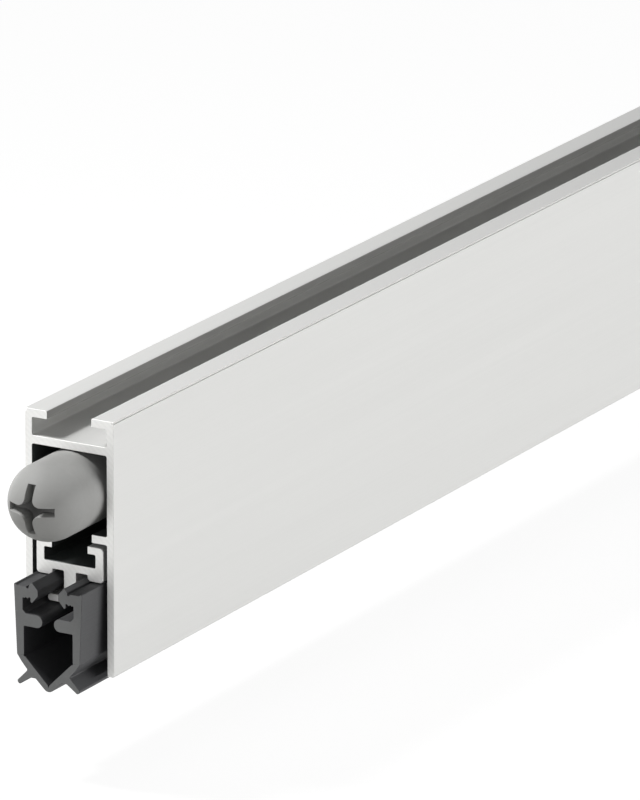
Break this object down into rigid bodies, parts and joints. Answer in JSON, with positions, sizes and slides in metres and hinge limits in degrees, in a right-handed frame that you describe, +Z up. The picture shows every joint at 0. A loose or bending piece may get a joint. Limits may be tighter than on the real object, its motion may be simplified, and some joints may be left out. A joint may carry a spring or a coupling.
{
  "type": "automatic door bottom seal",
  "caption": "Automatic door bottom seal: an aluminium housing let into a door's foot, whose plunger bows leaf springs that lower a rubber seal onto the floor.",
  "frame": {"origin": "middle of the mounting slot's mouth, on the housing's top plane at its plunger end", "axes": "+X across the door's thickness, +Y along the housing away from the plunger, +Z up"},
  "size_m": [0.013, 0.3505, 0.0354],
  "materials": {
    "profile_aluminium": "satin anodised",
    "seal_rubber": "matt extruded",
    "knob_nylon": "moulded",
    "insert_brass": "turned",
    "rod_steel": "bright zinc plated",
    "spring_steel": "rolled strip",
    "rivet_steel": "cold headed",
    "block_acetal": "moulded"
  },
  "bodies": {
    "housing": {"housing_profile": "profile_aluminium", "guide_block": "block_acetal", "anchor_block_1": "block_acetal", "anchor_block_2": "block_acetal", "fixing_screws": "rod_steel", "anchor_rivets": "rivet_steel", "leaf_spring_1": "spring_steel", "leaf_spring_2": "spring_steel"},
    "rod": {"push_rod": "rod_steel", "retaining_ring": "rod_steel", "slider_block_1": "block_acetal", "slider_block_2": "block_acetal", "grub_screws": "rod_steel", "slider_rivets": "rivet_steel"},
    "knob": {"plunger_knob": "knob_nylon", "threaded_insert": "insert_brass"},
    "drop_bar": {"drop_bar": "profile_aluminium", "rubber_seal": "seal_rubber"},
    "carriages": {"spring_carriage_1": "block_acetal", "spring_carriage_2": "block_acetal", "carriage_rivets": "rivet_steel"}
  },
  "joints": [
    {"name": "plunger_slide", "type": "slide", "parent": "housing", "child": "rod", "axis": [0, 1, 0], "range_m": [0, 0.00612], "stiffness_N_per_m": 3000, "springref_m": -0.003},
    {"name": "bar_drop", "type": "slide", "parent": "housing", "child": "drop_bar", "axis": [0, 0, -1], "range_m": [0, 0.012]},
    {"name": "carriage_travel", "type": "slide", "parent": "housing", "child": "carriages", "axis": [0, 0.2471, -0.969], "range_m": [0, 0.01238], "deforming": ["leaf_spring_1", "leaf_spring_2"]},
    {"name": "knob_turn", "type": "hinge", "parent": "rod", "child": "knob", "pos_m": [0, 0, -0.00997], "axis": [0, -1, 0], "range_deg": [0, 1080]}
  ],
  "couplings": [
    {"joint": "bar_drop", "follows": "plunger_slide", "ratio": 1.9608},
    {"joint": "carriage_travel", "follows": "plunger_slide", "ratio": 2.0235}
  ]
}
